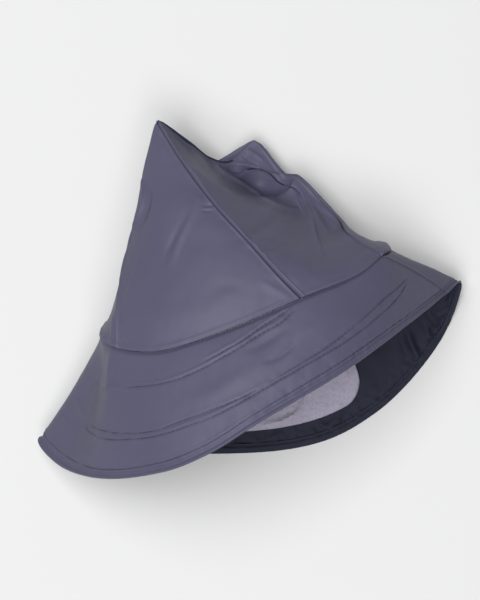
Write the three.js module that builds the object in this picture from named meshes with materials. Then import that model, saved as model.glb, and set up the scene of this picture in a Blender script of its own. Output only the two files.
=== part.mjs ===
// Sou'wester hat of coated cloth, lying on its back with the front panel up.
// Millimetres. X runs across the head, Y from the brim to the peaks, Z up from the floor.
import * as THREE from 'three';

// Driving sizes
const head_half_width = 100;
const head_height = 118;
const crown_length = 127;
const flap_reach = 112;
const cloth = 1.6;
const peak_thinning = 0.6;
const hem_cloth = 2.4;
const hem_width = 6.5;
const hem_lift = 0.4;
const fleece = 2.2;
const lining_clearance = 2.4;
const lining_mitre = 1.25;
const fleece_clearance = 0.6;
const half_gap = 0.25;
const floor_roll = 3.0;

// Angles round the head where the panels meet, in degrees from the wearer's left side over the front
const left_seam = 22;
const front_left_seam = 71;
const front_right_seam = 153;
const right_seam = 205;

// Crown edge: angle, then shares of head_half_width, crown_length and head_height
const crown_edge = table(['angle', 'across', 'along', 'up'], [
  [0, 1.00, -0.02, 0.51],
  [22, 0.92, -0.035, 0.69],
  [45, 0.71, -0.09, 0.84],
  [71, 0.33, -0.11, 0.965],
  [100, -0.175, -0.145, 1.00],
  [128, -0.62, -0.145, 0.92],
  [153, -0.89, -0.07, 0.74],
  [180, -1.00, 0.02, 0.52],
  [205, -0.91, 0.09, 0.29],
  [235, -0.57, 0.145, 0.05],
  [270, 0.00, 0.16, -0.06],
  [305, 0.57, 0.14, 0.05],
  [335, 0.90, 0.05, 0.29],
]);

// Brim rim: angle, then shares of head_half_width, flap_reach and head_height
const brim_rim = table(['angle', 'across', 'along', 'up'], [
  [0, 1.418, -0.354, 0.15],
  [22, 1.289, -0.376, 0.33],
  [45, 0.966, -0.464, 0.68],
  [71, 0.478, -0.59, 1.03],
  [100, -0.191, -0.718, 1.19],
  [114, -0.528, -0.795, 1.135],
  [128, -0.834, -0.822, 1.02],
  [153, -1.25, -0.773, 0.70],
  [180, -1.545, -0.633, 0.34],
  [205, -1.625, -0.457, 0.10],
  [235, -1.08, -0.709, -0.04],
  [270, -0.047, -0.993, -0.08],
  [305, 0.596, -0.947, -0.06],
  [335, 1.159, -0.662, -0.03],
]);

// Brim bow: angle, then how far the middle of the brim stands out, as a share of head_height
const brim_bow = table(['angle', 'out'], [
  [0, 0.002],
  [45, 0.035],
  [100, 0.03],
  [153, 0.03],
  [180, -0.09],
  [205, -0.035],
  [250, 0.00],
  [315, 0.00],
]);

// Panel seams from the crown edge (rise 0) to a peak (rise 1)
const front_left_curve = table(['rise', 'across', 'along', 'up'], [
  [0.15, 0.24, 0.035, 0.95],
  [0.35, 0.125, 0.245, 0.87],
  [0.55, 0.00, 0.465, 0.76],
  [0.78, -0.11, 0.715, 0.61],
  [1.00, -0.205, 1.02, 0.44],
]);
const front_right_curve = table(['rise', 'across', 'along', 'up'], [
  [0.12, -0.84, 0.082, 0.70],
  [0.34, -0.737, 0.294, 0.60],
  [0.50, -0.623, 0.444, 0.55],
  [0.64, -0.50, 0.605, 0.52],
  [0.84, -0.395, 0.768, 0.48],
  [1.00, -0.205, 1.02, 0.44],
]);
const left_curve = table(['rise', 'across', 'along', 'up'], [
  [0.20, 0.764, 0.123, 0.55],
  [0.45, 0.736, 0.237, 0.36],
  [0.68, 0.594, 0.503, 0.24],
  [0.78, 0.513, 0.544, 0.18],
  [0.88, 0.444, 0.69, 0.145],
  [1.00, 0.404, 0.78, 0.115],
]);
const right_curve = table(['rise', 'across', 'along', 'up'], [
  [0.20, -0.80, 0.15, 0.23],
  [0.45, -0.575, 0.42, 0.09],
  [0.75, -0.235, 0.645, 0.045],
  [1.00, 0.404, 0.78, 0.115],
]);

// Ridge between the front peak (along 0) and the back peak (along 1)
const ridge_curve = table(['share', 'across', 'along', 'up'], [
  [0.00, -0.205, 1.02, 0.44],
  [0.25, -0.04, 0.85, 0.345],
  [0.48, 0.055, 0.75, 0.24],
  [0.75, 0.192, 0.70, 0.16],
  [1.00, 0.404, 0.78, 0.115],
]);

// Panel form: swell at the middle as a share of head_half_width, the rise where it is fullest,
// how fast the roundness of the crown edge fades above it, how much the swell leans up or down
const panel_form = {
  left: { swell: 0.05, fullest: 0.5, fading: 1.6, lean: 1.4 },
  front: { swell: 0.05, fullest: 0.5, fading: 1.0, lean: 1.4 },
  right: { swell: 0.10, fullest: 0.86, fading: 2.9, lean: 0.5 },
  back: { swell: 0.06, fullest: 0.5, fading: 1.2, lean: 1.4 },
};
const brim_lean = 1.4;

// Folds in the cloth seen from the front: ends and half width as shares of head_half_width
// and crown_length, rise as a share of head_half_width
const folds = table(['from_x', 'from_y', 'to_x', 'to_y', 'width', 'rise'], [
  [0.10, 0.66, 0.30, 0.52, 0.09, -0.07],
  [0.30, 0.52, 0.54, 0.36, 0.10, -0.07],
  [0.10, 0.62, 0.33, 0.38, 0.08, 0.03],
  [0.33, 0.38, 0.55, 0.245, 0.08, 0.02],
  [0.14, 0.69, 0.49, 0.53, 0.08, 0.05],
  [0.49, 0.53, 0.63, 0.285, 0.08, 0.04],
]);

const columns = { left: 16, front: 14, right: 16, back: 24 };
const crown_rows = 17;
const brim_rows = 7;

function table(names, rows) {
  return rows.map((row) => Object.fromEntries(names.map((name, k) => [name, row[k]])));
}

// Smooth curve through the rows of a table; a closed one repeats every full turn
function smooth(rows, key, column, at, turn = 0) {
  const count = rows.length;
  const row = (k) => {
    const lap = turn ? Math.floor(k / count) : 0;
    const index = turn ? k - lap * count : Math.min(Math.max(k, 0), count - 1);
    return [rows[index][key] + lap * turn, rows[index][column]];
  };
  const place = turn ? at - Math.floor((at - rows[0][key]) / turn) * turn : at;
  let k = 0;
  while (k < count - (turn ? 1 : 2) && row(k + 1)[0] <= place) k += 1;
  const [a, b, c, d] = [row(k - 1), row(k), row(k + 1), row(k + 2)];
  const span = c[0] - b[0];
  const slope = (p, q) => (q[0] === p[0] ? (c[1] - b[1]) / span : (q[1] - p[1]) / (q[0] - p[0]));
  const s = (place - b[0]) / span;
  const ease = s * s * (3 - 2 * s);
  const start = s * (1 - s) * (1 - s) * span * slope(a, c);
  const end = s * s * (s - 1) * span * slope(b, d);
  return b[1] + ease * (c[1] - b[1]) + start + end;
}

// Cloth that would pass through the floor lies flat on it
function settle(z) {
  if (z >= floor_roll) return z;
  if (z <= -floor_roll) return 0;
  return (z + floor_roll) ** 2 / (4 * floor_roll);
}

function loop_point(rows, angle, length) {
  return new THREE.Vector3(
    head_half_width * smooth(rows, 'angle', 'across', angle, 360),
    length * smooth(rows, 'angle', 'along', angle, 360),
    head_height * smooth(rows, 'angle', 'up', angle, 360));
}

const edge_point = (angle) => loop_point(crown_edge, angle, crown_length);
const rim_point = (angle) => loop_point(brim_rim, angle, flap_reach);

function ridge_point(share) {
  return new THREE.Vector3(
    head_half_width * smooth(ridge_curve, 'share', 'across', share),
    crown_length * smooth(ridge_curve, 'share', 'along', share),
    head_height * smooth(ridge_curve, 'share', 'up', share));
}

// A panel seam starts where its angle meets the crown edge
function seam_curve(rows, angle) {
  const foot = edge_point(angle);
  const base = {
    rise: 0,
    across: foot.x / head_half_width,
    along: foot.y / crown_length,
    up: foot.z / head_height,
  };
  const all = [base, ...rows];
  return (rise) => new THREE.Vector3(
    head_half_width * smooth(all, 'rise', 'across', rise),
    crown_length * smooth(all, 'rise', 'along', rise),
    head_height * smooth(all, 'rise', 'up', rise));
}

const seams = {
  left: seam_curve(left_curve, left_seam),
  front_left: seam_curve(front_left_curve, front_left_seam),
  front_right: seam_curve(front_right_curve, front_right_seam),
  right: seam_curve(right_curve, right_seam),
};

// Panels in order round the head: angles, side seams, share of the ridge at each side
const panels = {
  left: { from: left_seam, to: front_left_seam, sides: ['left', 'front_left'], ridge: [1, 0] },
  front: {
    from: front_left_seam, to: front_right_seam, sides: ['front_left', 'front_right'], ridge: [0, 0],
  },
  right: { from: front_right_seam, to: right_seam, sides: ['front_right', 'right'], ridge: [0, 1] },
  back: { from: right_seam, to: left_seam + 360, sides: ['right', 'left'], ridge: [1, 1] },
};

function fold_rise(point) {
  const x = point.x / head_half_width;
  const y = point.y / crown_length;
  let rise = 0;
  for (const fold of folds) {
    const dx = (fold.to_x - fold.from_x) * head_half_width;
    const dy = (fold.to_y - fold.from_y) * crown_length;
    const px = (x - fold.from_x) * head_half_width;
    const py = (y - fold.from_y) * crown_length;
    const along = Math.min(Math.max((px * dx + py * dy) / (dx * dx + dy * dy), 0), 1);
    const away = Math.hypot(px - along * dx, py - along * dy) / (fold.width * head_half_width);
    rise += fold.rise * head_half_width * Math.exp(-away * away);
  }
  return rise;
}

// Direction straight out from the line through the middle of the head
function sideways(point, middle_z, lean) {
  return new THREE.Vector3(point.x, 0, lean * (point.z - middle_z)).normalize();
}

// Outer face of a crown panel: share 0 to 1 round the panel, rise 0 to 1 from edge to top
function crown_point(name, share, rise) {
  const panel = panels[name];
  const mix = (a, b) => a.clone().lerp(b, share);
  const foot = edge_point(panel.from + share * (panel.to - panel.from));
  const feet = mix(edge_point(panel.from), edge_point(panel.to));
  const top = ridge_point(panel.ridge[0] + share * (panel.ridge[1] - panel.ridge[0]));
  const tops = mix(ridge_point(panel.ridge[0]), ridge_point(panel.ridge[1]));
  const point = mix(seams[panel.sides[0]](rise), seams[panel.sides[1]](rise));
  const form = panel_form[name];
  point.addScaledVector(foot.sub(feet), (1 - rise) ** form.fading);
  point.addScaledVector(top.sub(tops), rise);
  const below = (rise / form.fullest) ** (2 * form.fullest);
  const above = ((1 - rise) / (1 - form.fullest)) ** (2 * (1 - form.fullest));
  const swell = 4 * share * (1 - share) * below * above * form.swell * head_half_width;
  const middle_z = 0.5 * head_height * (1 - 0.6 * rise);
  point.addScaledVector(sideways(point, middle_z, form.lean), swell);
  if (name === 'left') {
    const fade = Math.min(1, 8 * share, 8 * (1 - share), 7 * (1 - rise), 5 * rise);
    point.z += fade * fold_rise(point);
  }
  point.z = settle(point.z);
  return point;
}

// Outer face of the brim: share 0 at the crown edge, 1 at the rim
function brim_point(angle, share) {
  const foot = edge_point(angle);
  const rim = rim_point(angle);
  const point = foot.clone().lerp(rim, share);
  const bow = 4 * share * (1 - share) * head_height * smooth(brim_bow, 'angle', 'out', angle, 360);
  point.addScaledVector(sideways(point, 0.5 * head_height, brim_lean), bow);
  point.z = settle(point.z);
  return point;
}

const hem_share = (angle) => 1 - hem_width / edge_point(angle).distanceTo(rim_point(angle));

// The outer skin of the whole hat: columns round the head, rows from the top of the crown to the rim
const skin = [];
const column_of = {};
for (const [name, panel] of Object.entries(panels)) {
  column_of[name] = skin.length;
  for (let i = 0; i < columns[name]; i += 1) {
    const share = i / columns[name];
    const angle = panel.from + share * (panel.to - panel.from);
    const line = [];
    for (let j = 0; j <= crown_rows; j += 1) line.push(crown_point(name, share, 1 - j / crown_rows));
    const hem = hem_share(angle);
    for (let j = 1; j <= brim_rows; j += 1) line.push(brim_point(angle, hem * j / brim_rows));
    line.push(brim_point(angle, 1));
    skin.push(line);
  }
}
const column_total = skin.length;
const row_total = skin[0].length;
const column = (i) => skin[((i % column_total) + column_total) % column_total];

// Outward direction at each point of a patch of skin, lengthened where faces meet at an angle
const spot_key = (p) => `${p.x.toFixed(3)},${p.y.toFixed(3)},${p.z.toFixed(3)}`;

function outward_directions(first, last, top, bottom) {
  const spots = new Map();
  for (let i = first; i < last; i += 1) {
    for (let j = top; j < bottom; j += 1) {
      const quad = [column(i)[j], column(i)[j + 1], column(i + 1)[j + 1], column(i + 1)[j]];
      for (const corners of [[0, 1, 2], [0, 2, 3]]) {
        const [a, b, c] = corners.map((k) => quad[k]);
        const normal = c.clone().sub(a).cross(b.clone().sub(a));
        const area = normal.length();
        if (area < 1e-6) continue;
        normal.divideScalar(area);
        for (const p of [a, b, c]) {
          const key = spot_key(p);
          if (!spots.has(key)) spots.set(key, []);
          spots.get(key).push({ normal, area });
        }
      }
    }
  }
  const directions = new Map();
  for (const [key, faces] of spots) {
    const sum = new THREE.Vector3();
    for (const face of faces) sum.addScaledVector(face.normal, face.area);
    sum.normalize();
    const least = Math.min(...faces.map((face) => face.normal.dot(sum)));
    directions.set(key, sum.divideScalar(Math.max(least, 0.5)));
  }
  return (p) => directions.get(spot_key(p)).clone();
}
const shared_outward = outward_directions(0, column_total, 0, row_total - 1);

// A closed solid from a grid of points with an outer and an inner face
function sheet_solid(name, colour, outer, inner, turned_top = false) {
  const vertices = [];
  const index_of = new Map();
  const index = (p) => {
    const key = spot_key(p);
    if (!index_of.has(key)) {
      index_of.set(key, vertices.length / 3);
      vertices.push(p.x, p.y, p.z);
    }
    return index_of.get(key);
  };
  const faces = [];
  const triangle = (a, b, c) => {
    const [i, j, k] = [index(a), index(b), index(c)];
    if (i !== j && j !== k && k !== i) faces.push(i, k, j);
  };
  const quad = (a, b, c, d) => {
    triangle(a, b, c);
    triangle(a, c, d);
  };
  const count = outer.length;
  const rows = outer[0].length;
  const last = count - 1;
  for (let i = 0; i < last; i += 1) {
    const n = i + 1;
    for (let j = 0; j < rows - 1; j += 1) {
      quad(outer[i][j], outer[i][j + 1], outer[n][j + 1], outer[n][j]);
      quad(inner[i][j], inner[n][j], inner[n][j + 1], inner[i][j + 1]);
    }
    if (turned_top) quad(outer[i][0], outer[n][0], inner[n][0], inner[i][0]);
    else quad(inner[i][0], outer[i][0], outer[n][0], inner[n][0]);
    quad(inner[i][rows - 1], inner[n][rows - 1], outer[n][rows - 1], outer[i][rows - 1]);
  }
  for (let j = 0; j < rows - 1; j += 1) {
    quad(inner[0][j], inner[0][j + 1], outer[0][j + 1], outer[0][j]);
    quad(outer[last][j + 1], inner[last][j + 1], inner[last][j], outer[last][j]);
  }
  const geometry = new THREE.BufferGeometry();
  geometry.setAttribute('position', new THREE.Float32BufferAttribute(vertices, 3));
  geometry.setIndex(faces);
  geometry.computeVertexNormals();
  const material = new THREE.MeshStandardMaterial({ color: colour, roughness: 0.5 });
  const mesh = new THREE.Mesh(geometry, material);
  mesh.name = name;
  return mesh;
}

// Part of the skin between two columns and two rows, moved back from its neighbours by half a gap.
// Its edges are mitred to the neighbours, and the mitre fades evenly into the piece.
function skin_piece(name, colour, first, last, top, bottom, wall, lift = 0) {
  const own = outward_directions(first, last, top, bottom);
  const turn = (i, j) => shared_outward(column(i)[j]).sub(own(column(i)[j]));
  const outer = [];
  const inner = [];
  for (let i = first; i <= last; i += 1) {
    const s = (i - first) / (last - first);
    const out_line = [];
    const in_line = [];
    for (let j = top; j <= bottom; j += 1) {
      const r = (j - top) / (bottom - top);
      const p = column(i)[j];
      const away = own(p);
      away.addScaledVector(turn(first, j), 1 - s).addScaledVector(turn(last, j), s);
      away.addScaledVector(turn(i, top), 1 - r).addScaledVector(turn(i, bottom), r);
      away.addScaledVector(turn(first, top), -(1 - s) * (1 - r));
      away.addScaledVector(turn(last, top), -s * (1 - r));
      away.addScaledVector(turn(first, bottom), -(1 - s) * r);
      away.addScaledVector(turn(last, bottom), -s * r);
      const shift = new THREE.Vector3();
      const pull = (q) => {
        const step = q.clone().sub(p);
        if (step.length() > 1e-3) shift.addScaledVector(step.normalize(), half_gap);
      };
      if (i === first) pull(column(i + 1)[j]);
      if (i === last) pull(column(i - 1)[j]);
      if (j === top && top > 0) pull(column(i)[j + 1]);
      if (j === bottom && bottom < row_total - 1) pull(column(i)[j - 1]);
      if (top === 0 && j === top) {
        const pointed = column(first)[0].distanceTo(column(last)[0]) < 1e-3;
        pull(column(pointed ? Math.round((first + last) / 2) : i)[1]);
      }
      const raised = lift * Math.min(1, p.z / 12);
      out_line.push(p.clone().add(shift).addScaledVector(away, raised));
      const thinned = top === 0 && j === top ? peak_thinning * wall : wall;
      in_line.push(p.clone().add(shift).addScaledVector(away, -thinned));
    }
    outer.push(out_line);
    inner.push(in_line);
  }
  return sheet_solid(name, colour, outer, inner, name === 'crown_right_panel');
}

const navy = 0x46465a;
const grey = 0xb8b4ba;
const hat = new THREE.Group();
hat.name = 'sou_wester_hat';

for (const name of Object.keys(panels)) {
  const first = column_of[name];
  hat.add(skin_piece(`crown_${name}_panel`, navy, first, first + columns[name], 0, crown_rows, cloth));
}

const front_start = column_of.left;
const front_end = column_of.back;
const flap_end = front_start + column_total;
const hem_row = row_total - 2;
const rim_row = row_total - 1;
hat.add(skin_piece('front_brim', navy, front_start, front_end, crown_rows, hem_row, cloth));
hat.add(skin_piece('neck_flap', navy, front_end, flap_end, crown_rows, hem_row, cloth));
hat.add(skin_piece('front_hem', navy, front_start, front_end, hem_row, rim_row, hem_cloth, hem_lift));
hat.add(skin_piece('neck_hem', navy, front_end, flap_end, hem_row, rim_row, hem_cloth));

// Fleece lining: follows the inside of the crown up to a flat end well below the peaks
const unlined_crown_rows = 7;
const crown_rows_per_lining_row = 2;
const lining_outer = [];
const lining_inner = [];
for (let i = 0; i < column_total; i += 1) {
  const out_line = [];
  const in_line = [];
  for (let j = unlined_crown_rows; j <= crown_rows; j += crown_rows_per_lining_row) {
    const p = column(i)[j];
    const away = shared_outward(p).clampLength(1, lining_mitre);
    const depth = cloth + lining_clearance;
    out_line.push(p.clone().addScaledVector(away, -depth));
    in_line.push(p.clone().addScaledVector(away, -depth - fleece));
  }
  lining_outer.push(out_line);
  lining_inner.push(in_line);
}
const centre = (lines) => {
  const sum = new THREE.Vector3();
  for (const line of lines) sum.add(line[0]);
  return sum.divideScalar(lines.length);
};
const top_outer = centre(lining_outer);
const top_inner = centre(lining_inner);
top_inner.y = top_outer.y - fleece;
for (const line of lining_outer) line.unshift(top_outer.clone());
for (const line of lining_inner) line.unshift(top_inner.clone());
hat.add(lining_cup('crown_lining', grey, lining_outer, lining_inner));

// A cup closed at its top: its first row is a single point on each face
function lining_cup(name, colour, outer, inner) {
  const rows = outer[0].length;
  const vertices = [];
  const faces = [];
  const index_of = new Map();
  const index = (p) => {
    const key = spot_key(p);
    if (!index_of.has(key)) {
      index_of.set(key, vertices.length / 3);
      vertices.push(p.x, p.y, p.z);
    }
    return index_of.get(key);
  };
  const triangle = (a, b, c) => {
    const [i, j, k] = [index(a), index(b), index(c)];
    if (i !== j && j !== k && k !== i) faces.push(i, k, j);
  };
  for (let i = 0; i < outer.length; i += 1) {
    const n = (i + 1) % outer.length;
    for (let j = 0; j < rows - 1; j += 1) {
      triangle(outer[i][j], outer[i][j + 1], outer[n][j + 1]);
      triangle(outer[i][j], outer[n][j + 1], outer[n][j]);
      triangle(inner[i][j], inner[n][j], inner[n][j + 1]);
      triangle(inner[i][j], inner[n][j + 1], inner[i][j + 1]);
    }
    triangle(outer[i][rows - 1], inner[i][rows - 1], inner[n][rows - 1]);
    triangle(outer[i][rows - 1], inner[n][rows - 1], outer[n][rows - 1]);
  }
  const geometry = new THREE.BufferGeometry();
  geometry.setAttribute('position', new THREE.Float32BufferAttribute(vertices, 3));
  geometry.setIndex(faces);
  geometry.computeVertexNormals();
  const material = new THREE.MeshStandardMaterial({ color: colour, roughness: 0.95 });
  const mesh = new THREE.Mesh(geometry, material);
  mesh.name = name;
  return mesh;
}

// Fleece flap on the inside of the neck flap, with rounded lower corners
const fleece_flap = { from: 238, to: 304, top: 0.05, bottom: 0.88, corner: 0.14, columns: 16, rows: 8 };
const flap_outer = [];
const flap_inner = [];
for (let i = 0; i <= fleece_flap.columns; i += 1) {
  const share = i / fleece_flap.columns;
  const side = Math.min(share, 1 - share) / fleece_flap.corner;
  const cut = side < 1 ? 0.13 * (1 - Math.sqrt(1 - (1 - side) ** 2)) : 0;
  const angle = fleece_flap.from + share * (fleece_flap.to - fleece_flap.from);
  const out_line = [];
  const in_line = [];
  for (let j = 0; j <= fleece_flap.rows; j += 1) {
    const length = (fleece_flap.bottom - cut - fleece_flap.top) * j / fleece_flap.rows;
    const p = brim_point(angle, fleece_flap.top + length);
    const under = cloth + fleece_clearance + 0.35 * Math.max(0, p.z);
    out_line.push(p.clone().add(new THREE.Vector3(0, 0, under)));
    in_line.push(p.clone().add(new THREE.Vector3(0, 0, under + fleece)));
  }
  flap_outer.push(out_line);
  flap_inner.push(in_line);
}
hat.add(sheet_solid('neck_fleece', grey, flap_outer, flap_inner));

// The origin lies on the floor under the middle of the hat
const extent = new THREE.Box3().setFromObject(hat);
const middle = extent.getCenter(new THREE.Vector3());
for (const mesh of hat.children) mesh.geometry.translate(-middle.x, -middle.y, 0);

export default hat;
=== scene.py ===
"""Sou'wester hat of coated cloth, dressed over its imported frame.

The add-on builds each cloth piece as a fine surface over its solid, sews the stitch rows with
Geometry Nodes, lines the hat with fleece and sets the stage.
"""
import functools
import math

import bpy
import numpy as np
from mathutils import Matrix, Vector


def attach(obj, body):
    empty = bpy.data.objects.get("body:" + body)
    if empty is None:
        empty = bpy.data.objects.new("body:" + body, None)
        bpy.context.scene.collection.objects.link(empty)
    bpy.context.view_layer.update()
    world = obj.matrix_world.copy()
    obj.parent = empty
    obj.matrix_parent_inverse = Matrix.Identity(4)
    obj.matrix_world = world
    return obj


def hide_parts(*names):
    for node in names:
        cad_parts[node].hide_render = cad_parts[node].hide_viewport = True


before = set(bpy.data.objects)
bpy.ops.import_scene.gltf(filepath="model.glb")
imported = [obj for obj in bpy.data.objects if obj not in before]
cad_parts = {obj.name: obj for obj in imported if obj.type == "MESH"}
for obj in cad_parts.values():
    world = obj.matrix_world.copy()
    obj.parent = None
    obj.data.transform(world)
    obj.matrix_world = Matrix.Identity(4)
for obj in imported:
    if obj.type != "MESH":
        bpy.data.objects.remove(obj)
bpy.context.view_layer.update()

bl_info = {
    "name": "Sou'wester Hat",
    "version": (1, 0, 0),
    "blender": (4, 5, 0),
    "location": "View3D > Sidebar > Sou'wester",
    "description": "Builds a coated-cloth rain hat with a fleece lining over its packed frame",
    "category": "Add Mesh",
}

# Sizes of the solids, in millimetres, as in the part's source
HEAD_HALF_WIDTH = 100.0
HEAD_HEIGHT = 118.0
CROWN_LENGTH = 127.0
FLAP_REACH = 112.0
CLOTH = 1.6
HEM_CLOTH = 2.4
HEM_WIDTH = 6.5
FLEECE = 2.2
FLEECE_CLEARANCE = 0.6
LINING_CLEARANCE = 2.4
FLOOR_ROLL = 3.0
MIDDLE_X = -11.775
MIDDLE_Y = 8.05

LEFT_SEAM = 22.0
FRONT_LEFT_SEAM = 71.0
FRONT_RIGHT_SEAM = 153.0
RIGHT_SEAM = 205.0

# angle, across, along, up
CROWN_EDGE = np.array([
    (0, 1.00, -0.02, 0.51),
    (22, 0.92, -0.035, 0.69),
    (45, 0.71, -0.09, 0.84),
    (71, 0.33, -0.11, 0.965),
    (100, -0.175, -0.145, 1.00),
    (128, -0.62, -0.145, 0.92),
    (153, -0.89, -0.07, 0.74),
    (180, -1.00, 0.02, 0.52),
    (205, -0.91, 0.09, 0.29),
    (235, -0.57, 0.145, 0.05),
    (270, 0.00, 0.16, -0.06),
    (305, 0.57, 0.14, 0.05),
    (335, 0.90, 0.05, 0.29),
])

# angle, across, along, up
BRIM_RIM = np.array([
    (0, 1.418, -0.354, 0.15),
    (22, 1.289, -0.376, 0.33),
    (45, 0.966, -0.464, 0.68),
    (71, 0.478, -0.59, 1.03),
    (100, -0.191, -0.718, 1.19),
    (114, -0.528, -0.795, 1.135),
    (128, -0.834, -0.822, 1.02),
    (153, -1.25, -0.773, 0.70),
    (180, -1.545, -0.633, 0.34),
    (205, -1.625, -0.457, 0.10),
    (235, -1.08, -0.709, -0.04),
    (270, -0.047, -0.993, -0.08),
    (305, 0.596, -0.947, -0.06),
    (335, 1.159, -0.662, -0.03),
])

# angle, out
BRIM_BOW = np.array([
    (0, 0.002),
    (45, 0.035),
    (100, 0.03),
    (153, 0.03),
    (180, -0.09),
    (205, -0.035),
    (250, 0.00),
    (315, 0.00),
])

# rise, across, along, up
FRONT_LEFT_CURVE = [
    (0.15, 0.24, 0.035, 0.95),
    (0.35, 0.125, 0.245, 0.87),
    (0.55, 0.00, 0.465, 0.76),
    (0.78, -0.11, 0.715, 0.61),
    (1.00, -0.205, 1.02, 0.44),
]
FRONT_RIGHT_CURVE = [
    (0.12, -0.84, 0.082, 0.70),
    (0.34, -0.737, 0.294, 0.60),
    (0.50, -0.623, 0.444, 0.55),
    (0.64, -0.50, 0.605, 0.52),
    (0.84, -0.395, 0.768, 0.48),
    (1.00, -0.205, 1.02, 0.44),
]
LEFT_CURVE = [
    (0.20, 0.764, 0.123, 0.55),
    (0.45, 0.736, 0.237, 0.36),
    (0.68, 0.594, 0.503, 0.24),
    (0.78, 0.513, 0.544, 0.18),
    (0.88, 0.444, 0.69, 0.145),
    (1.00, 0.404, 0.78, 0.115),
]
RIGHT_CURVE = [
    (0.20, -0.80, 0.15, 0.23),
    (0.45, -0.575, 0.42, 0.09),
    (0.75, -0.235, 0.645, 0.045),
    (1.00, 0.404, 0.78, 0.115),
]

# share, across, along, up
RIDGE_CURVE = np.array([
    (0.00, -0.205, 1.02, 0.44),
    (0.25, -0.04, 0.85, 0.345),
    (0.48, 0.055, 0.75, 0.24),
    (0.75, 0.192, 0.70, 0.16),
    (1.00, 0.404, 0.78, 0.115),
])

# panel: first angle, last angle, ridge share at each side, columns
PANELS = {
    "left": (LEFT_SEAM, FRONT_LEFT_SEAM, 1.0, 0.0, 190),
    "front": (FRONT_LEFT_SEAM, FRONT_RIGHT_SEAM, 0.0, 0.0, 190),
    "right": (FRONT_RIGHT_SEAM, RIGHT_SEAM, 0.0, 1.0, 120),
    "back": (RIGHT_SEAM, LEFT_SEAM + 360.0, 1.0, 1.0, 150),
}
CROWN_ROWS = 180
CROWN_CROWDING = 0.09
SHARP_ANGLE = math.radians(50.0)

# brim half: its hem, first angle, last angle, columns
BRIM_HALVES = {
    "front_brim": ("front_hem", LEFT_SEAM, RIGHT_SEAM, 430),
    "neck_flap": ("neck_hem", RIGHT_SEAM, LEFT_SEAM + 360.0, 400),
}
BRIM_ROWS = 100
SEAM_GAP = 0.25

# The neck fleece, as angles and as shares of the flap, and the share and depth of its corners
FLEECE_ANGLES = (238.0, 66.0)
FLEECE_SHARES = (0.05, 0.88)
FLEECE_CORNERS = (0.14, 0.13)
FLEECE_COLUMNS = 150
FLEECE_ROWS = 90

# The crown lining: how far up it reaches, its grid and its closed end
LINING_TOP = 0.52
LINING_COLUMNS = {"left": 50, "front": 50, "right": 50, "back": 90}
LINING_ROWS = 60
CAP_ROWS = 12
CAP_RISE = 2.5

# Millimetres over which two panels turn to each other at a seam, over which folds fade out at a
# panel's side, foot and ridge, and by which a tip is rounded, and how near to it
SEAM_TURN = 3.0
SIDE_FADE = 3.5
FOOT_FADE = 3.0
RIDGE_FADE = 5.0
TIP_ROUNDING = 2.4
TIP_NEAR = 7.0

# Where the cloth thins: over how many millimetres, and to what share
SIDE_THINNING = (6.0, 0.55)
TIP_THINNING = (16.0, 0.12)

# The hem: where its edge starts to round, and the share of its cloth left there
HEM_BEND = 0.72
HEM_THINNING = 0.12

# How far a face of the brim turns down before its back shows every fold, and how far its back
# stays from the floor, in mm
DOWN_FACING = 0.4
FLOOR_GAP = 0.05

# Ridges and grooves beside an edge: distance from it, half width and rise, in mm
CROWN_SIDE = [(0.0, 0.85, -1.6), (2.2, 0.9, 0.30)]
CROWN_FOOT = [(2.0, 1.2, 0.55)]
BRIM_FOOT = [(0.0, 1.8, -1.5)]
BRIM_SEAM = [(0.0, 0.7, -0.5), (1.9, 1.1, 0.30)]
RIM_ROLL = [(0.9, 0.9, 0.55), (3.3, 1.4, -0.95),
            (HEM_WIDTH, 0.6, -0.45), (HEM_WIDTH + 1.3, 0.8, 0.30)]
HEM_BACK = [(0.0, 1.0, -0.8)]
STITCH_ROW = {
    "low": [(0.0, 0.7, -0.55), (-1.7, 0.9, 0.45)],
    "high": [(0.0, 0.7, -0.55), (-1.5, 1.0, 0.20)],
}

# Waves of the cloth and of the nap: rise and length in mm, and seed
CROWN_WAVES = [(0.16, 26.0, 3), (0.05, 9.0, 5)]
BRIM_WAVES = [(0.18, 30.0, 13), (0.05, 9.0, 15)]
HEM_WAVES = [(0.22, 5.0, 31)]
BACK_WAVES = [(0.35, 20.0, 35)]
FLEECE_WAVES = [(0.8, 42.0, 41), (0.25, 12.0, 43)]
FLEECE_NAP = [(0.28, 2.6, 45), (0.16, 1.3, 47)]
LINING_NAP = [(0.25, 3.0, 51), (0.8, 40.0, 53)]

# Puckers beside a seam: reach, rise and length in mm, and seed
SIDE_PUCKERS = (6.0, 0.20, 9.0, 8)
FOOT_PUCKERS = (6.0, 0.20, 10.0, 9)
HEM_PUCKERS = (5.0, 0.18, 7.0, 23)
ROW_PUCKERS = (4.0, 0.10, 9.0, 21)
BACK_PUCKERS = (8.0, 0.9, 6.5, 33)

# How much the cloth's swell leans up or down
SIDE_LEAN = 1.4

# panel: swell, the rise where it is fullest, how fast the crown edge's roundness fades above it,
# and its lean
PANEL_FORM = {
    "left": (0.05, 0.5, 1.6, SIDE_LEAN),
    "front": (0.05, 0.5, 1.0, SIDE_LEAN),
    "right": (0.10, 0.86, 2.9, 0.5),
    "back": (0.06, 0.5, 1.2, SIDE_LEAN),
}

# Wide folds of the left panel: from_x, from_y, to_x, to_y, width, rise, as shares
WIDE_FOLDS = [
    (0.10, 0.66, 0.30, 0.52, 0.09, -0.07),
    (0.30, 0.52, 0.54, 0.36, 0.10, -0.07),
    (0.10, 0.62, 0.33, 0.38, 0.08, 0.03),
    (0.33, 0.38, 0.55, 0.245, 0.08, 0.02),
    (0.14, 0.69, 0.49, 0.53, 0.08, 0.05),
    (0.49, 0.53, 0.63, 0.285, 0.08, 0.04),
]

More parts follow.
